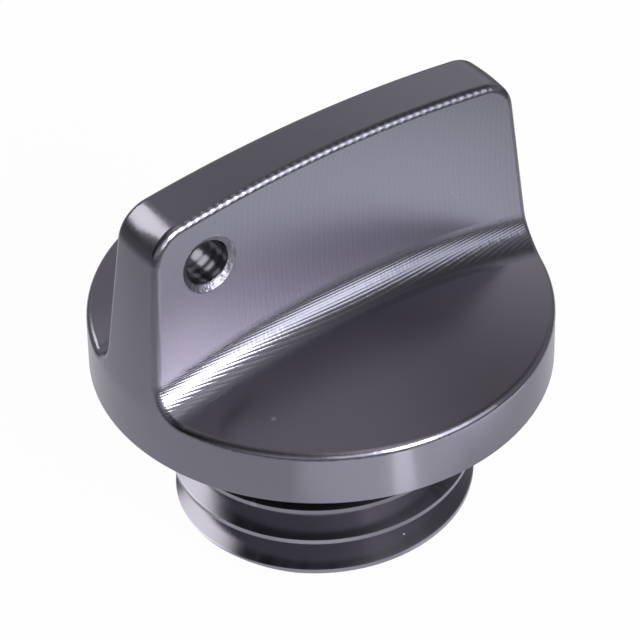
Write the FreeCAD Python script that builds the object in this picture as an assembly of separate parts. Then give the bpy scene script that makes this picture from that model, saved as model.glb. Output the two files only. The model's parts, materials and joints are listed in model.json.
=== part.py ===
"""Engine oil filler cap: one turned and milled aluminium body and its rubber sealing ring.

The cap screws into a crankcase with a coarse metric thread. A thin upright blade, left standing
across the whole flange by milling away both sides, is the finger grip. A cross hole near the
blade's corner takes the lock wire. The sealing ring sits on a land under the flange.

Millimetres. +Z points up, along the thread's axis, away from the engine. +X runs along the blade,
and the lock-wire hole is at its -X end. The origin is the centre of the spigot's end face.
"""

import FreeCAD, Part
import math
import os

from FreeCAD import Vector

Z_AXIS = Vector(0, 0, 1)
ORIGIN = Vector(0, 0, 0)

# Threaded spigot, M20 x 2.5
thread_diameter = 19.9
thread_pitch = 2.5
spigot_length = 11.4
spigot_end_chamfer = 1.0
spigot_end_chamfer_angle = 30.0  # from the end face
thread_crest_heading = -125.65  # degrees from +X where a crest lies crest_drop under the seat
crest_drop = 5.21

# Land for the sealing ring and the thread's run-out groove under it
seal_land_diameter = 17.8
seal_land_length = 3.15
runout_width = 0.75
runout_lead_in = 0.9

# Blind bore that lightens the spigot from below
bore_diameter = 11.0
bore_depth = 8.5
drill_point_angle = 118.0
bore_mouth_chamfer = 0.4

# Flange with its domed top
flange_diameter = 29.84
rim_height = 3.95
rim_lower_chamfer = 0.2
dome_rise = 1.97

# Grip blade. Its ends belong to the turned blank, which tapers up from the rim
cap_height_above_seat = 17.62
flank_taper = 5.4
flank_blend_radius = 12.0
crown_radius = 85.0
blade_corner_radius = 2.45
blade_top_thickness = 3.76
blade_draft = 4.0
blade_root_radius = 2.3
edge_rounding = 0.5

# Lock-wire hole
wire_hole_diameter = 3.0
wire_hole_x = -9.84
wire_hole_height_above_seat = 13.2
wire_countersink_diameter = 3.94
wire_countersink_angle = 120.0

# Sealing ring
ring_inner_diameter = 18.0
ring_section = 3.0
ring_clearance = 0.05

# Metric thread form, as shares of the pitch
thread_half_angle = 30.0
crest_flat_share = 1 / 8
thread_depth_share = 0.6134

OVERSIZE = 5.0  # how far cutting and blank shapes reach past the part
OVERLAP = 0.3  # how far pieces of one solid reach into each other before they are fused
ON_SURFACE = 1e-4

seat_z = spigot_length
cap_top_z = seat_z + cap_height_above_seat
rim_z = seat_z + rim_height
flange_radius = flange_diameter / 2
crest_radius = thread_diameter / 2
root_radius = crest_radius - thread_depth_share * thread_pitch
land_radius = seal_land_diameter / 2
runout_z = seat_z - seal_land_length - runout_width
dome_radius = (flange_radius ** 2 + dome_rise ** 2) / (2 * dome_rise)
dome_centre_z = rim_z + dome_rise - dome_radius


def half_profile(points):
    """Face in the XZ plane from (radius, height) points."""
    corners = [Vector(radius, 0, height) for radius, height in points]
    return Part.Face(Part.makePolygon(corners + corners[:1]))


def turned(face):
    return face.revolve(ORIGIN, Z_AXIS, 360)


def level_edges(shape, lowest_z, highest_z, smallest_radius):
    """Level edges round the axis between two heights, no nearer to it than the radius."""
    found = []
    for edge in shape.Edges:
        box = edge.BoundBox
        is_level = box.ZLength < ON_SURFACE and lowest_z < box.Center.z < highest_z
        if is_level and not edge.Degenerated and box.XLength > 2 * smallest_radius:
            found.append(edge)
    return found


def turned_blank():
    """Flange band, tapered flank and crowned top, as they leave the lathe."""
    taper = math.radians(flank_taper)
    blend_length = flank_blend_radius * math.tan(taper / 2)
    blend_centre = Vector(flange_radius - flank_blend_radius, 0, rim_z - blend_length)
    blend = [
        blend_centre + flank_blend_radius * Vector(math.cos(turn), 0, math.sin(turn))
        for turn in (taper, taper / 2, 0)
    ]
    top_z = cap_top_z + OVERSIZE
    flank_top = Vector(flange_radius - math.tan(taper) * (top_z - rim_z), 0, top_z)
    outline = Part.Wire([
        Part.makeLine(Vector(0, 0, top_z), flank_top),
        Part.makeLine(flank_top, blend[0]),
        Part.Arc(*blend).toShape(),
        Part.makeLine(blend[2], Vector(flange_radius, 0, seat_z)),
        Part.makeLine(Vector(flange_radius, 0, seat_z), Vector(0, 0, seat_z)),
        Part.makeLine(Vector(0, 0, seat_z), Vector(0, 0, top_z)),
    ])
    crown = Part.makeSphere(crown_radius, Vector(0, 0, cap_top_z - crown_radius))
    blank = turned(Part.Face(outline)).common(crown)
    top_edges = level_edges(blank, rim_z + 2 * blend_length, top_z, flange_radius / 2)
    blank = blank.makeFillet(blade_corner_radius, top_edges)
    foot_edges = level_edges(blank, seat_z - ON_SURFACE, seat_z + ON_SURFACE, flange_radius / 2)
    return blank.makeChamfer(rim_lower_chamfer, foot_edges)


def milled_form():
    """Domed deck with the drafted blade standing on it, longer and wider than the blank."""
    reach = flange_radius + OVERSIZE
    lean = math.tan(math.radians(blade_draft))
    head_z = cap_top_z + OVERSIZE
    half_foot = blade_top_thickness / 2 + lean * cap_height_above_seat
    half_head = blade_top_thickness / 2 - lean * OVERSIZE
    section = Part.Face(Part.makePolygon([
        Vector(-reach, -half_foot, seat_z),
        Vector(-reach, half_foot, seat_z),
        Vector(-reach, half_head, head_z),
        Vector(-reach, -half_head, head_z),
        Vector(-reach, -half_foot, seat_z),
    ]))
    blade = section.extrude(Vector(2 * reach, 0, 0))
    ball = Part.makeSphere(dome_radius, Vector(0, 0, dome_centre_z))
    block = Part.makeCylinder(reach, dome_radius, Vector(0, 0, seat_z - OVERSIZE))
    form = block.common(ball).fuse(blade)
    return form.makeFillet(blade_root_radius, shared_edges(form, ball, blade))


def shared_edges(shape, first, second):
    """Edges of the shape that lie on the skins of both other shapes."""
    found = []
    for edge in shape.Edges:
        span = edge.LastParameter - edge.FirstParameter
        marks = [Part.Vertex(edge.valueAt(edge.FirstParameter + share * span)) for share in (0.1, 0.5, 0.9)]
        if all(
            first.Shells[0].distToShape(mark)[0] < ON_SURFACE
            and second.Shells[0].distToShape(mark)[0] < ON_SURFACE
            for mark in marks
        ):
            found.append(edge)
    return found


def wire_hole_cutter():
    """Cross drill with a countersink square to each drafted face of the blade."""
    draft = math.radians(blade_draft)
    hole_z = seat_z + wire_hole_height_above_seat
    half_wall = blade_top_thickness / 2 + math.tan(draft) * (cap_top_z - hole_z)
    reach = half_wall + OVERSIZE
    start = Vector(wire_hole_x, -reach, hole_z)
    cutter = Part.makeCylinder(wire_hole_diameter / 2, 2 * reach, start, Vector(0, 1, 0))
    slope = math.tan(math.radians(wire_countersink_angle / 2))
    tip_depth = wire_countersink_diameter / 2 / slope
    height = tip_depth + OVERLAP
    for side in (-1, 1):
        outward = Vector(0, side * math.cos(draft), math.sin(draft))
        tip = Vector(wire_hole_x, side * half_wall, hole_z) - tip_depth * outward
        cutter = cutter.fuse(Part.makeCone(0, height * slope, height, tip, outward))
    return cutter


def thread_ridge():
    """Helical ridge of the external thread, from under the spigot's end up to the run-out groove."""
    half_crest = crest_flat_share * thread_pitch / 2
    half_root = half_crest + (crest_radius - root_radius) * math.tan(math.radians(thread_half_angle))
    section = Part.makePolygon([
        Vector(root_radius - OVERLAP, 0, -half_root),
        Vector(root_radius, 0, -half_root),
        Vector(crest_radius, 0, -half_crest),
        Vector(crest_radius, 0, half_crest),
        Vector(root_radius, 0, half_root),
        Vector(root_radius - OVERLAP, 0, half_root),
        Vector(root_radius - OVERLAP, 0, -half_root),
    ])
    crest_z_over_x = seat_z - crest_drop - thread_pitch * thread_crest_heading / 360
    turns_down = math.ceil(crest_z_over_x / thread_pitch) + 1
    start_z = crest_z_over_x - turns_down * thread_pitch
    helix = Part.makeLongHelix(thread_pitch, seat_z - start_z, root_radius)
    ridge = Part.Wire(helix).makePipeShell([section], True, True)
    ridge.translate(Vector(0, 0, start_z))
    full_crest_z = runout_z - runout_lead_in
    room = turned(half_profile([
        (0, start_z),
        (crest_radius + OVERSIZE, start_z),
        (crest_radius + OVERSIZE, full_crest_z),
        (crest_radius, full_crest_z),
        (root_radius - OVERLAP, runout_z),
        (0, runout_z),
    ]))
    return ridge.common(room)


def spigot():
    """Seal land, run-out groove and thread, chamfered at the end that enters the hole."""
    land_z = seat_z - seal_land_length
    core = turned(half_profile([
        (0, -OVERSIZE),
        (root_radius, -OVERSIZE),
        (root_radius, land_z),
        (land_radius, land_z),
        (land_radius, seat_z + OVERLAP),
        (0, seat_z + OVERLAP),
    ]))
    widening = 1 / math.tan(math.radians(spigot_end_chamfer_angle))
    end_radius = crest_radius - spigot_end_chamfer * widening
    height = seat_z + OVERLAP
    chamfered_room = Part.makeCone(end_radius, end_radius + height * widening, height)
    return core.fuse(thread_ridge()).common(chamfered_room)


def lightening_bore():
    """Drilled hole with its cone point, and the chamfer of its mouth."""
    radius = bore_diameter / 2
    tip = radius / math.tan(math.radians(drill_point_angle / 2))
    return turned(half_profile([
        (0, -OVERSIZE),
        (radius + bore_mouth_chamfer + OVERSIZE, -OVERSIZE),
        (radius, bore_mouth_chamfer),
        (radius, bore_depth),
        (0, bore_depth + tip),
    ]))


def cap_body():
    blank = turned_blank()
    form = milled_form()
    head = blank.common(form)
    head = head.makeFillet(edge_rounding, shared_edges(head, blank, form))
    body = head.cut(wire_hole_cutter()).fuse(spigot())
    return body.cut(lightening_bore())


def o_ring():
    """Round-section rubber ring on its land, just under the flange."""
    section_radius = ring_section / 2
    ring = Part.makeTorus(ring_inner_diameter / 2 + section_radius, section_radius)
    ring.translate(Vector(0, 0, seat_z - section_radius - ring_clearance))
    return ring


def save(name, shape):
    if len(shape.Solids) != 1 or not shape.isValid():
        raise ValueError(f"{name}: {len(shape.Solids)} solids, valid {shape.isValid()}")
    shape.Solids[0].exportStep(f"parts/{name}.step")
    print(f"{name}: {shape.Volume:.1f} mm3")


os.makedirs("parts", exist_ok=True)
save("cap_body", cap_body())
save("o_ring", o_ring())
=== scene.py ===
"""Looks, light and camera of the oil filler cap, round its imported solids. Metres, +Z up."""

import json
import math

import bpy
from mathutils import Matrix, Vector

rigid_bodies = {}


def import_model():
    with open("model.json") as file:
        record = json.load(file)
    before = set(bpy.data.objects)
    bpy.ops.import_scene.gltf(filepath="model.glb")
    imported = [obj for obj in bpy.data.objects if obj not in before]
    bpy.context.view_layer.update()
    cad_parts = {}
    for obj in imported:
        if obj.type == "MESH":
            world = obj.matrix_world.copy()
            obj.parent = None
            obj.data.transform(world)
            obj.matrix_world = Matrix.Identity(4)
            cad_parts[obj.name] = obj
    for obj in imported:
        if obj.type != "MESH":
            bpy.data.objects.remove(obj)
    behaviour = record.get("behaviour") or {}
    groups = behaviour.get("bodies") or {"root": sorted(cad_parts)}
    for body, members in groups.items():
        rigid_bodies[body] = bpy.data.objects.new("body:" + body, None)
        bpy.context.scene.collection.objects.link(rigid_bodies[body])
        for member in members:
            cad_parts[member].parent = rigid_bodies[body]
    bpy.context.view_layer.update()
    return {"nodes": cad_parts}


MM = 0.001
SEAT_HEIGHT = 11.4 * MM

# Sizes of the part that the tool marks follow, in mm
CAP_TOP_Z = 29.02
RIM_Z = 15.35
RIM_RADIUS = 14.92
THREAD_RADIUS = 9.8  # about where the crests lie, which is under the nominal 9.95
DOME_RISE = 1.97
DOME_RADIUS = (RIM_RADIUS ** 2 + DOME_RISE ** 2) / (2 * DOME_RISE)
DOME_CENTRE_Z = RIM_Z + DOME_RISE - DOME_RADIUS
BLADE_HALF_TOP = 1.88
BLADE_LEAN = math.tan(math.radians(4))
EDGE_ROUNDING = 0.5
HOLE_X = -9.84
HOLE_Z = 24.6
HOLE_RADIUS = 1.5
COUNTERSINK_RADIUS = 1.97

# Tool marks, in mm
STEP_HEIGHT = 0.166
WATERLINE_DEPTH = 0.02
FINGER_FADE = (0.5, 1.5)
SWEPT_FADE = (0.8, 1.4)  # how far off the face the end mill still reaches into the fillet
ARC_PITCH = 0.3
ARC_RADIUS = 14.0
ARC_WANDER = 0.4
WEAVE_ENDS = (-10.0, -7.0)  # along X, where the weave begins to show
ARC_MIDDLE_Z = 22.0
ARC_DEPTH = 0.0005
DRILL_FEED = 0.7
DRILL_RING_DEPTH = 0.007
PIT_DEPTH = 0.08
RUBBER_PEBBLE = 0.5
RUBBER_DEPTH = 0.03
CHATTER_PITCH = 0.575
CHATTER_DEPTH = 0.0055
CHATTER_SLANT = -6.0
SLOPE_FADE = (0.012, 0.035)  # steepness from which waterlines show
LEAST_STEEPNESS = 0.11
FINGER_CEILING = (2.1, 2.3)  # above the deck
DECK_FADE = (1.2, 4.0)  # off the blade's face, where the deck's finish takes over
CREST_FADE = (-0.04, 0.06)  # round THREAD_RADIUS
LAND_CLEARANCE = 1.0  # under the seat, where wear and a painted highlight on the crests may begin
WANDER_SCALE = 0.45
PATCH_SCALE = 0.16
PIT_SCALE = 3.5
BUMP_FILTER = 0.3

# Anodic film and the finishes under it
TURNED_FILM = "#88858d"
MILLED_FILM = "#8a8890"
PAINTED_WEAVE_SHADE = "#84828a"  # painted shade, a darker film where the arcs dip
HOLE_FILM = "#747278"
DECK_FILM = "#8c8690"  # thicker there, which turns it violet
BARE_METAL = "#b4b4b9"
WORN_CREST_AND_HIGHLIGHT = "#b8b8c0"  # where the mating thread has worn the film, lighter still as a painted highlight on the crests
TURNED_ROUGHNESS = 0.2
FACE_ROUGHNESS = 0.31
FILLET_ROUGHNESS = 0.17
DECK_ROUGHNESS = 0.25
HOLE_ROUGHNESS = 0.21
COUNTERSINK_ROUGHNESS = 0.4
EDGE_ROUGHNESS = 0.16
WORN_ROUGHNESS = 0.5
ANISOTROPY = 0.6
RUBBER_COLOURS = ("#131313", "#1f1f20")
RUBBER_ROUGHNESS = (0.42, 0.58)

# Handling marks, in mm: places and radii of the specks, and the ends and width of the scratch
SPECKS = (
    ((-9.39, -7.98, 15.86), 0.24),
    ((-8.72, -4.46, 6.02), 0.3),
    ((-0.17, -9.02, 2.08), 0.08),
)
SCRATCH_ENDS = ((8.47, 21.73), (9.23, 20.92))  # X and Z, on the front face
SCRATCH_WIDTH = 0.13

# The camera as fitted to the photograph
CAMERA_AZIMUTH = -35.646
CAMERA_ELEVATION = 39.978
CAMERA_ROLL = -0.871
CAMERA_DISTANCE = 272.81 * MM
FOCAL_PIXELS = 4251.46
PHOTO_SIDE = 640
SEAT_CENTRE_PIXEL = (321.47, 349.74)
SENSOR_WIDTH = 36.0

FLOOR_HALF_SIDE = 1.5
PAPER_COLOUR = (0.9, 0.9, 0.9, 1)
FLOOR_WHITENESS = 0.97  # share of the floor that shows white, whatever shades it
POOL_EDGE = (0.02, 0.11)  # metres from the part's axis
POOL_LEVELS = (0.72, 0.2)
POOL_COLOUR = "#f6f7ff"
POOL_SHIFT = (10, 6 * MM)  # its middle, to the front of the part: azimuth, distance

UP = Vector((0, 0, 1))
LAMP_DISTANCE = 0.5
CARD_LIFT = 0.5 * MM

# Light level of the surroundings, and its soft patches: azimuth, elevation, spread, change
WORLD_LEVEL = 0.39
DARKEST_SKY = 0.03
WORLD_COLOUR = "#f8f8ff"
WORLD_PATCHES = (
    (14, 26, 14, 0.6),
    (-45, 0, 26, 0.35),
    (-98, 8, 18, -0.4),
    (-75, 52, 24, -0.32),
    (-140, 0, 11, -0.28),
    (150, 66, 16, 0.15),
    (155, 44, 12, -0.1),
    (128, 26, 14, 0.28),
    (95, 50, 20, -0.28),
    (45, 60, 16, -0.05),
    (8, 70, 10, 0.75),
)
# Lamps: name, azimuth, elevation, width and height in degrees, radiance, colour
SOFTBOXES = (
    ("key_softbox", 4, 24, 22, 30, 10.0, "#ffffff"),
    ("key_surround_a", 0, 24, 60, 32, 1.2, "#f4f6ff"),
    ("key_surround_b", 16, 24, 58, 34, 1.25, "#eaf0ff"),
    ("rear_softbox", -155, 38, 36, 32, 2.3, "#ffffff"),
)
# Cards on the floor: name, azimuth, distance, width and length in mm, radiance, colour
FLOOR_CARDS = (
    ("near_card_a", -6, 38, 4, 24, 1.5, "#f8f8ff"),
    ("near_card_b", -6, 38, 8, 24, 0.6, "#f8f8ff"),
    ("near_card_d", -6, 38, 15, 26, 0.45, "#f4f4ff"),
    ("near_card_c", -12, 38, 34, 28, 0.45, "#f0f2ff"),
    ("face_card", 28, 42, 34, 26, 0.85, "#eef1ff"),
)


def linear(hex_colour):
    """sRGB hex to linear RGBA."""
    channels = [int(hex_colour[i:i + 2], 16) / 255 for i in (1, 3, 5)]
    return [c / 12.92 if c <= 0.04045 else ((c + 0.055) / 1.055) ** 2.4 for c in channels] + [1.0]


def add(tree, kind, *values, inputs=None, out=0, **settings):
    """Adds a node and gives one of its outputs. Values fill its inputs in order, inputs by name."""
    node = tree.nodes.new(kind)
    for name, value in settings.items():
        setattr(node, name, value)
    for key, value in [*enumerate(values), *(inputs or {}).items()]:
        if isinstance(value, bpy.types.NodeSocket):
            tree.links.new(value, node.inputs[key])
        else:
            node.inputs[key].default_value = value
    return node.outputs[out] if node.outputs else None


def new_material(name):
    material = bpy.data.materials.new(name)
    material.use_nodes = True
    material.node_tree.nodes.clear()
    return material, material.node_tree


def anodised_aluminium():
    """6061 aluminium, milled and turned, then anodised titanium grey.

    The film is thin, so the metal's gloss stays and every tool mark shows through it."""
    material, tree = new_material("anodised_aluminium")
    math_node = "ShaderNodeMath"
    vector_math = "ShaderNodeVectorMath"
    ramp = "ShaderNodeMapRange"
    place = add(tree, "ShaderNodeTexCoord", out="Object")
    place_mm = add(tree, vector_math, place, (1 / MM, 1 / MM, 1 / MM), operation="MULTIPLY")
    split = add(tree, "ShaderNodeSeparateXYZ", place_mm).node
    x, y, z = split.outputs

    # Distance outside the domed deck, and outside the blade's drafted faces, both in mm
    from_ball = add(tree, vector_math, place_mm, (0, 0, -DOME_CENTRE_Z), operation="ADD")
    from_ball = add(tree, vector_math, from_ball, operation="LENGTH", out="Value")
    above_deck = add(tree, math_node, from_ball, DOME_RADIUS, operation="SUBTRACT")
    above_rim = add(tree, ramp, above_deck, -0.12, -0.02, 0.0, 1.0)
    half_blade = add(tree, math_node, z, -BLADE_LEAN, BLADE_HALF_TOP + BLADE_LEAN * CAP_TOP_Z,
                     operation="MULTIPLY_ADD")
    beside_axis = add(tree, math_node, y, operation="ABSOLUTE")
    off_blade = add(tree, math_node, beside_axis, half_blade, operation="SUBTRACT")
    in_fillet = add(tree, ramp, off_blade, 0.01, 0.06, 0.0, 1.0)

    # The lock-wire hole: its drilled wall, and its countersink
    from_hole = add(tree, vector_math, place_mm, (-HOLE_X, 0, -HOLE_Z), operation="ADD")
    from_hole = add(tree, vector_math, from_hole, (1, 0, 1), operation="MULTIPLY")
    from_hole = add(tree, vector_math, from_hole, operation="LENGTH", out="Value")
    in_hole = add(tree, ramp, from_hole, HOLE_RADIUS + 0.02, HOLE_RADIUS + 0.05, 1.0, 0.0)
    off_hole = add(tree, ramp, from_hole, COUNTERSINK_RADIUS - 0.03, COUNTERSINK_RADIUS, 0.0, 1.0)
    in_countersink = add(tree, math_node, 1.0, off_hole, operation="SUBTRACT")
    in_countersink = add(tree, math_node, in_countersink, in_hole, operation="SUBTRACT")

    # Rounded edges, where tumbling has burnished the film
    off_flange = add(tree, vector_math, place_mm, (1, 1, 0), operation="MULTIPLY")
    off_flange = add(tree, vector_math, off_flange, operation="LENGTH", out="Value")
    blade_edge = add(tree, ramp, off_blade, -EDGE_ROUNDING, 0.06 - EDGE_ROUNDING, 0.0, 1.0)
    past_edge = add(tree, ramp, off_blade, -0.03, 0.0, 1.0, 0.0)
    blade_edge = add(tree, math_node, blade_edge, past_edge, operation="MULTIPLY")
    blade_edge = add(tree, math_node, blade_edge, above_rim, operation="MULTIPLY")
    blade_edge = add(tree, math_node, blade_edge, off_hole, operation="MULTIPLY")
    rim_edge = add(tree, ramp, off_flange, RIM_RADIUS - EDGE_ROUNDING, RIM_RADIUS - 0.4, 0.0, 1.0)
    near_deck = add(tree, ramp, above_deck, -EDGE_ROUNDING, 0.08 - EDGE_ROUNDING, 0.0, 1.0)
    rim_edge = add(tree, math_node, rim_edge, near_deck, operation="MULTIPLY")
    not_over = add(tree, ramp, above_deck, 0.0, 0.1, 1.0, 0.0)
    rim_edge = add(tree, math_node, rim_edge, not_over, operation="MULTIPLY")
    edge = add(tree, math_node, blade_edge, rim_edge, operation="MAXIMUM")

    # Waterline passes: level steps of the ball-nosed cutter in the blade's root fillet,
    # which run out as fingers towards the deck. A step's cusp grows as the wall gets flatter
    normal = add(tree, "ShaderNodeNewGeometry", out="Normal")
    upward = add(tree, "ShaderNodeSeparateXYZ", normal, out="Z")
    steepness = add(tree, math_node, upward, upward, operation="MULTIPLY")
    steepness = add(tree, math_node, 1.0, steepness, operation="SUBTRACT")
    sloping = add(tree, ramp, steepness, *SLOPE_FADE, 0.0, 1.0)
    steepness = add(tree, math_node, steepness, LEAST_STEEPNESS, operation="MAXIMUM")
    step = add(tree, math_node, z, STEP_HEIGHT, operation="DIVIDE")
    step = add(tree, math_node, step, operation="FRACT")
    step = add(tree, math_node, step, 0.5, operation="SUBTRACT")
    cusp = add(tree, math_node, step, step, operation="MULTIPLY")
    cusp = add(tree, math_node, cusp, steepness, operation="DIVIDE")
    fade = add(tree, ramp, off_blade, *FINGER_FADE, 1.0, 0.0, interpolation_type="SMOOTHSTEP")
    on_deck_side = add(tree, ramp, above_deck, *FINGER_CEILING, 1.0, 0.0)
    fade = add(tree, math_node, fade, on_deck_side, operation="MULTIPLY")
    fade = add(tree, math_node, fade, in_fillet, operation="MULTIPLY")
    fade = add(tree, math_node, fade, above_rim, operation="MULTIPLY")
    fade = add(tree, math_node, fade, sloping, operation="MULTIPLY")
    waterlines = add(tree, math_node, cusp, fade, operation="MULTIPLY")
    waterlines = add(tree, math_node, waterlines, WATERLINE_DEPTH * MM, operation="MULTIPLY")

    # Arcs of the end mill on the blade's faces. Its forward and trailing teeth cross, which
    # gives a weave of near-upright lines
    over_middle = add(tree, math_node, z, ARC_MIDDLE_Z, operation="SUBTRACT")
    sagitta = add(tree, math_node, over_middle, over_middle, operation="MULTIPLY")
    sagitta = add(tree, math_node, ARC_RADIUS ** 2, sagitta, operation="SUBTRACT")
    sagitta = add(tree, math_node, sagitta, operation="SQRT")
    wander = add(tree, "ShaderNodeTexNoise", place_mm, inputs={"Scale": WANDER_SCALE, "Detail": 1.0})
    arcs = 0.0
    for side, pitch in ((-1, ARC_PITCH), (0.4, ARC_PITCH * 1.4)):
        feed = add(tree, math_node, sagitta, side, x, operation="MULTIPLY_ADD")
        feed = add(tree, math_node, wander, ARC_WANDER, feed, operation="MULTIPLY_ADD")
        turns = add(tree, math_node, feed, 2 * math.pi / pitch, operation="MULTIPLY")
        wave = add(tree, math_node, turns, operation="SINE")
        arcs = add(tree, math_node, wave, arcs, operation="ADD")
    patchy = add(tree, "ShaderNodeTexNoise", place_mm, inputs={"Scale": PATCH_SCALE, "Detail": 2.0})
    patchy = add(tree, ramp, patchy, 0.4, 0.62, 0.5, 1.0)
    arcs = add(tree, math_node, arcs, patchy, operation="MULTIPLY")
    shown = add(tree, ramp, x, *WEAVE_ENDS, 0.2, 1.0)
    arcs = add(tree, math_node, arcs, shown, operation="MULTIPLY")
    # Where the arcs dip, the film is darker: painted shade of the tool marks
    valley_shade = add(tree, ramp, arcs, -1.6, 1.6, 1.0, 0.0)
    outside = add(tree, ramp, off_blade, -0.1, -0.02, 0.0, 1.0)
    outside = add(tree, math_node, outside, above_rim, operation="MULTIPLY")
    outside = add(tree, math_node, outside, off_hole, operation="MULTIPLY")
    on_face = add(tree, ramp, off_blade, 0.02, 0.12, 1.0, 0.0)
    on_face = add(tree, math_node, on_face, outside, operation="MULTIPLY")
    swept = add(tree, ramp, off_blade, *SWEPT_FADE, 1.0, 0.0)
    swept = add(tree, math_node, swept, outside, operation="MULTIPLY")
    arcs = add(tree, math_node, arcs, swept, operation="MULTIPLY")
    arcs = add(tree, math_node, arcs, ARC_DEPTH * MM, operation="MULTIPLY")

    # Rings that the drill's feed leaves in the lock-wire hole
    rings = add(tree, math_node, y, 2 * math.pi / DRILL_FEED, operation="MULTIPLY")
    rings = add(tree, math_node, rings, operation="SINE")
    rings = add(tree, math_node, rings, in_hole, operation="MULTIPLY")
    rings = add(tree, math_node, rings, DRILL_RING_DEPTH * MM, operation="MULTIPLY")

    # The hand-held countersink tore small pits
    pits = add(tree, "ShaderNodeTexNoise", place_mm, inputs={"Scale": PIT_SCALE, "Detail": 3.0})
    pits = add(tree, math_node, pits, in_countersink, operation="MULTIPLY")
    pits = add(tree, math_node, pits, PIT_DEPTH * MM, operation="MULTIPLY")

    # Chatter of the deburring tool along the blade's edges
    chatter = add(tree, math_node, x, 2 * math.pi / CHATTER_PITCH, operation="MULTIPLY")
    chatter = add(tree, math_node, off_blade, CHATTER_SLANT, chatter, operation="MULTIPLY_ADD")
    chatter = add(tree, math_node, chatter, operation="SINE")
    chatter = add(tree, math_node, chatter, blade_edge, operation="MULTIPLY")
    near_face = add(tree, ramp, off_blade, -0.35, -0.2, 0.0, 1.0)
    chatter = add(tree, math_node, chatter, near_face, operation="MULTIPLY")
    chatter = add(tree, math_node, chatter, CHATTER_DEPTH * MM, operation="MULTIPLY")

    # Specks and a scratch, where bare metal shows
    worn = 0.0
    for speck_place, radius in SPECKS:
        from_speck = add(tree, vector_math, place_mm, speck_place, operation="DISTANCE", out="Value")
        speck = add(tree, ramp, from_speck, radius / 2, radius, 1.0, 0.0)
        worn = add(tree, math_node, speck, worn, operation="MAXIMUM")
    (start_x, start_z), (end_x, end_z) = SCRATCH_ENDS
    length = math.hypot(end_x - start_x, end_z - start_z)
    along_x, along_z = (end_x - start_x) / length, (end_z - start_z) / length
    from_start = add(tree, vector_math, place_mm, (-start_x, 0, -start_z), operation="ADD")
    along = add(tree, vector_math, from_start, (along_x, 0, along_z), operation="DOT_PRODUCT", out="Value")
    across = add(tree, vector_math, from_start, (-along_z, 0, along_x), operation="DOT_PRODUCT", out="Value")
    across = add(tree, math_node, across, operation="ABSOLUTE")
    scratch = add(tree, ramp, across, 0.0, SCRATCH_WIDTH / 2, 1.0, 0.0)
    beyond = add(tree, math_node, along, length / 2, operation="SUBTRACT")
    beyond = add(tree, math_node, beyond, operation="ABSOLUTE")
    beyond = add(tree, ramp, beyond, 0.7 * length / 2, length / 2, 1.0, 0.0)
    scratch = add(tree, math_node, scratch, beyond, operation="MULTIPLY")
    in_front = add(tree, math_node, y, 0.0, operation="LESS_THAN")
    scratch = add(tree, math_node, scratch, in_front, operation="MULTIPLY")
    scratch = add(tree, math_node, scratch, on_face, operation="MULTIPLY")
    worn = add(tree, math_node, scratch, worn, operation="MAXIMUM")

    # All marks are level lines that spread light up the slope, but for the face's upright
    # arcs and the hole's rings
    level = add(tree, math_node, 1.0, on_face, operation="SUBTRACT")
    level = add(tree, math_node, level, in_hole, operation="SUBTRACT")
    tangent = add(tree, "ShaderNodeCombineXYZ", on_face, in_hole, level)
    deck = add(tree, ramp, off_blade, *DECK_FADE, 0.0, 1.0)
    deck = add(tree, math_node, deck, above_rim, operation="MULTIPLY")
    roughness = add(tree, math_node, in_fillet, above_rim, operation="MULTIPLY")
    roughness = add(tree, math_node, roughness, FILLET_ROUGHNESS - TURNED_ROUGHNESS, TURNED_ROUGHNESS,
                    operation="MULTIPLY_ADD")
    for zone, change in (
        (deck, DECK_ROUGHNESS - FILLET_ROUGHNESS),
        (on_face, FACE_ROUGHNESS - TURNED_ROUGHNESS),
        (in_hole, HOLE_ROUGHNESS - TURNED_ROUGHNESS),
        (in_countersink, COUNTERSINK_ROUGHNESS - TURNED_ROUGHNESS),
        (edge, EDGE_ROUGHNESS - TURNED_ROUGHNESS),
        (worn, WORN_ROUGHNESS - TURNED_ROUGHNESS),
    ):
        roughness = add(tree, math_node, zone, change, roughness, operation="MULTIPLY_ADD")

    milled = add(tree, math_node, off_blade, -0.1, operation="GREATER_THAN")
    milled = add(tree, math_node, milled, above_rim, operation="MULTIPLY")
    # Milled film, darker where the arcs dip as painted shade, then the deck's film
    valley_shade = add(tree, math_node, valley_shade, on_face, operation="MULTIPLY")
    milled_film_and_shade = add(tree, "ShaderNodeMix", valley_shade, data_type="RGBA", out=2, inputs={
        6: linear(MILLED_FILM), 7: linear(PAINTED_WEAVE_SHADE),
    })
    milled_film_and_shade = add(tree, "ShaderNodeMix", deck, data_type="RGBA", out=2, inputs={
        6: milled_film_and_shade, 7: linear(DECK_FILM),
    })
    colour = add(tree, "ShaderNodeMix", milled, data_type="RGBA", out=2, inputs={
        6: linear(TURNED_FILM), 7: milled_film_and_shade,
    })
    colour = add(tree, "ShaderNodeMix", in_hole, data_type="RGBA", out=2, inputs={
        6: colour, 7: linear(HOLE_FILM),
    })
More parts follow.
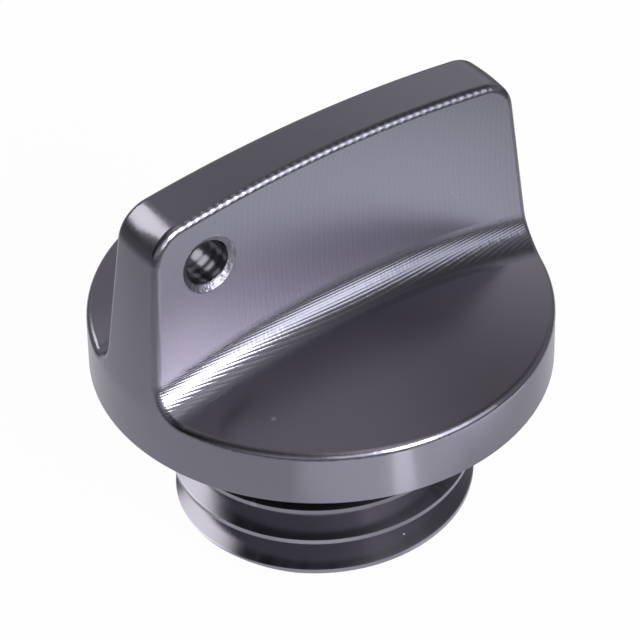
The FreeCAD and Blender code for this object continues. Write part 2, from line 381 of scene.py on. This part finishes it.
    # Lighter thread crests: film worn by the mating thread, and a painted highlight along them
    crest_start, crest_end = (THREAD_RADIUS + fade for fade in CREST_FADE)
    crest_wear_and_highlight = add(tree, ramp, off_flange, crest_start, crest_end, 0.0, 1.0)
    under_seat = add(tree, math_node, z, SEAT_HEIGHT / MM - LAND_CLEARANCE, operation="LESS_THAN")
    crest_wear_and_highlight = add(tree, math_node, crest_wear_and_highlight, under_seat, operation="MULTIPLY")
    crest_patchiness = add(tree, ramp, patchy, 0.4, 1.0, 0.3, 1.0)
    crest_wear_and_highlight = add(tree, math_node, crest_wear_and_highlight, crest_patchiness, operation="MULTIPLY")
    colour = add(tree, "ShaderNodeMix", crest_wear_and_highlight, data_type="RGBA", out=2, inputs={
        6: colour, 7: linear(WORN_CREST_AND_HIGHLIGHT),
    })
    colour = add(tree, "ShaderNodeMix", worn, data_type="RGBA", out=2, inputs={
        6: colour, 7: linear(BARE_METAL),
    })
    heights = waterlines
    for marks in (arcs, rings, pits, chatter):
        heights = add(tree, math_node, heights, marks, operation="ADD")
    bumped = add(tree, "ShaderNodeBump", inputs={
        "Strength": 1.0, "Distance": 1.0, "Filter Width": BUMP_FILTER, "Height": heights,
    })
    shader = add(tree, "ShaderNodeBsdfPrincipled", inputs={
        "Base Color": colour,
        "Metallic": 1.0,
        "Roughness": roughness,
        "Anisotropic": ANISOTROPY,
        "Normal": bumped,
        "Tangent": tangent,
    })
    add(tree, "ShaderNodeOutputMaterial", shader)
    return material


def nitrile_rubber():
    """Moulded nitrile rubber: black, with a dull sheen that its faint pebble breaks up."""
    material, tree = new_material("nitrile_rubber")
    place = add(tree, "ShaderNodeTexCoord", out="Object")
    pebble = add(tree, "ShaderNodeTexNoise", place, inputs={
        "Scale": 1 / (RUBBER_PEBBLE * MM), "Detail": 4.0,
    })
    dark, light = RUBBER_COLOURS
    bloom = add(tree, "ShaderNodeMix", pebble, data_type="RGBA", out=2, inputs={
        6: linear(dark), 7: linear(light),
    })
    depth = add(tree, "ShaderNodeMath", pebble, RUBBER_DEPTH * MM, operation="MULTIPLY")
    bumped = add(tree, "ShaderNodeBump", inputs={"Strength": 1.0, "Distance": 1.0, "Height": depth})
    dullness = add(tree, "ShaderNodeMapRange", pebble, 0.3, 0.7, *RUBBER_ROUGHNESS)
    shader = add(tree, "ShaderNodeBsdfPrincipled", inputs={
        "Base Color": bloom,
        "Roughness": dullness,
        "Normal": bumped,
    })
    add(tree, "ShaderNodeOutputMaterial", shader)
    return material


def studio_paper():
    """White sheet in a pool of light.

    The camera sees it white. The metal sees it too, dimmer away from the part, where the pool
    ends. All other rays meet plain paper."""
    material, tree = new_material("studio_paper")
    math_node = "ShaderNodeMath"
    place = add(tree, "ShaderNodeTexCoord", out="Object")
    azimuth, shift = POOL_SHIFT
    middle = shift * towards(azimuth, 0)
    distance = add(tree, "ShaderNodeVectorMath", place, middle, operation="DISTANCE", out="Value")
    pool = add(tree, "ShaderNodeMapRange", distance, *POOL_EDGE, *POOL_LEVELS,
               interpolation_type="SMOOTHERSTEP")
    rays = add(tree, "ShaderNodeLightPath").node.outputs
    mirrored = add(tree, math_node, rays["Is Glossy Ray"], rays["Is Transmission Ray"], operation="MAXIMUM")
    strength = add(tree, math_node, rays["Is Camera Ray"], pool, operation="MAXIMUM")
    colour = add(tree, "ShaderNodeMix", mirrored, data_type="RGBA", out=2, inputs={
        6: (1, 1, 1, 1), 7: linear(POOL_COLOUR),
    })
    white = add(tree, "ShaderNodeEmission", colour, strength)
    paper = add(tree, "ShaderNodeBsdfDiffuse", PAPER_COLOUR)
    seen = add(tree, math_node, rays["Is Camera Ray"], FLOOR_WHITENESS, mirrored, operation="MULTIPLY_ADD")
    add(tree, "ShaderNodeOutputMaterial", add(tree, "ShaderNodeMixShader", seen, paper, white))
    return material


def build_floor():
    mesh = bpy.data.meshes.new("floor")
    half = FLOOR_HALF_SIDE
    corners = [(-half, -half, 0), (half, -half, 0), (half, half, 0), (-half, half, 0)]
    mesh.from_pydata(corners, [], [(0, 1, 2, 3)])
    floor = bpy.data.objects.new("floor", mesh)
    bpy.context.scene.collection.objects.link(floor)
    mesh.materials.append(studio_paper())


def build_camera():
    azimuth, elevation = math.radians(CAMERA_AZIMUTH), math.radians(CAMERA_ELEVATION)
    roll = math.radians(CAMERA_ROLL)
    back = Vector((
        math.sin(azimuth) * math.cos(elevation),
        -math.cos(azimuth) * math.cos(elevation),
        math.sin(elevation),
    ))
    level_right = Vector((math.cos(azimuth), math.sin(azimuth), 0))
    level_up = back.cross(level_right)
    right = math.cos(roll) * level_right + math.sin(roll) * level_up
    up = math.cos(roll) * level_up - math.sin(roll) * level_right
    middle = PHOTO_SIDE / 2
    aim = (
        (middle - SEAT_CENTRE_PIXEL[0]) * right
        + (SEAT_CENTRE_PIXEL[1] - middle) * up
        - FOCAL_PIXELS * back
    ).normalized()
    side = aim.cross(up).normalized()
    above = side.cross(aim)
    data = bpy.data.cameras.new("photo_camera")
    data.sensor_width = SENSOR_WIDTH
    data.lens = FOCAL_PIXELS / PHOTO_SIDE * SENSOR_WIDTH
    data.clip_start = 0.01
    data.clip_end = 10.0
    camera = bpy.data.objects.new("photo_camera", data)
    bpy.context.scene.collection.objects.link(camera)
    axes = Matrix((side, above, -aim)).transposed().to_4x4()
    camera.matrix_world = Matrix.Translation(Vector((0, 0, SEAT_HEIGHT)) + CAMERA_DISTANCE * back) @ axes
    bpy.context.scene.camera = camera


def towards(azimuth, elevation):
    """Unit vector. Azimuth 0 is -Y, which is the front, and 90 is +X."""
    turn, rise = math.radians(azimuth), math.radians(elevation)
    return Vector((math.sin(turn) * math.cos(rise), -math.cos(turn) * math.cos(rise), math.sin(rise)))


def area_lamp(name, width, height, radiance, colour, place, side, above):
    """Rectangular lamp, sized in metres. It shines away from the cross product side x above."""
    data = bpy.data.lights.new(name, "AREA")
    data.shape = "RECTANGLE"
    data.size = width
    data.size_y = height
    data.energy = radiance * math.pi * width * height
    data.color = linear(colour)[:3]
    lamp = bpy.data.objects.new(name, data)
    axes = Matrix((side, above, side.cross(above))).transposed().to_4x4()
    lamp.matrix_world = Matrix.Translation(place) @ axes
    lamp.visible_camera = False
    bpy.context.scene.collection.objects.link(lamp)


def softbox(name, azimuth, elevation, width, height, radiance, colour):
    """Soft lamp that fills so many degrees of the part's surroundings."""
    back = towards(azimuth, elevation)
    side = UP.cross(back).normalized()
    sizes = [2 * LAMP_DISTANCE * math.tan(math.radians(degrees / 2)) for degrees in (width, height)]
    place = Vector((0, 0, CAP_TOP_Z / 2 * MM)) + LAMP_DISTANCE * back
    area_lamp(name, *sizes, radiance, colour, place, side, back.cross(side))


def floor_card(name, azimuth, distance, width, length, radiance, colour):
    """Bright card just over the floor, hidden from the camera, that shines upwards. In mm."""
    out = towards(azimuth, 0)
    place = distance * MM * out + CARD_LIFT * UP
    area_lamp(name, width * MM, length * MM, radiance, colour, place, UP.cross(out), out)


def build_world():
    """Even surroundings, brighter or darker in soft patches."""
    world = bpy.data.worlds.new("studio")
    bpy.context.scene.world = world
    world.use_nodes = True
    tree = world.node_tree
    tree.nodes.clear()
    direction = add(tree, "ShaderNodeTexCoord", out="Generated")
    strength = WORLD_LEVEL
    for azimuth, elevation, spread, change in WORLD_PATCHES:
        nearness = add(tree, "ShaderNodeVectorMath", direction, towards(azimuth, elevation),
                       operation="DOT_PRODUCT", out="Value")
        nearness = add(tree, "ShaderNodeMath", nearness, 1.0, operation="SUBTRACT")
        nearness = add(tree, "ShaderNodeMath", nearness, math.radians(spread) ** 2, operation="DIVIDE")
        patch = add(tree, "ShaderNodeMath", nearness, operation="EXPONENT")
        strength = add(tree, "ShaderNodeMath", patch, change, strength, operation="MULTIPLY_ADD")
    strength = add(tree, "ShaderNodeMath", strength, DARKEST_SKY, operation="MAXIMUM")
    add(tree, "ShaderNodeOutputWorld",
        add(tree, "ShaderNodeBackground", linear(WORLD_COLOUR), strength))


def build_light():
    build_world()
    for name, *settings in SOFTBOXES:
        softbox(name, *settings)
    for name, *settings in FLOOR_CARDS:
        floor_card(name, *settings)


for thing in list(bpy.data.objects):
    bpy.data.objects.remove(thing)
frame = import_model()
finishes = {"cap_body": anodised_aluminium(), "o_ring": nitrile_rubber()}
for node_name, finish in finishes.items():
    piece = frame["nodes"][node_name]
    piece.data.materials.clear()
    piece.data.materials.append(finish)
build_floor()
build_camera()
build_light()
bpy.context.scene.view_settings.view_transform = "Standard"
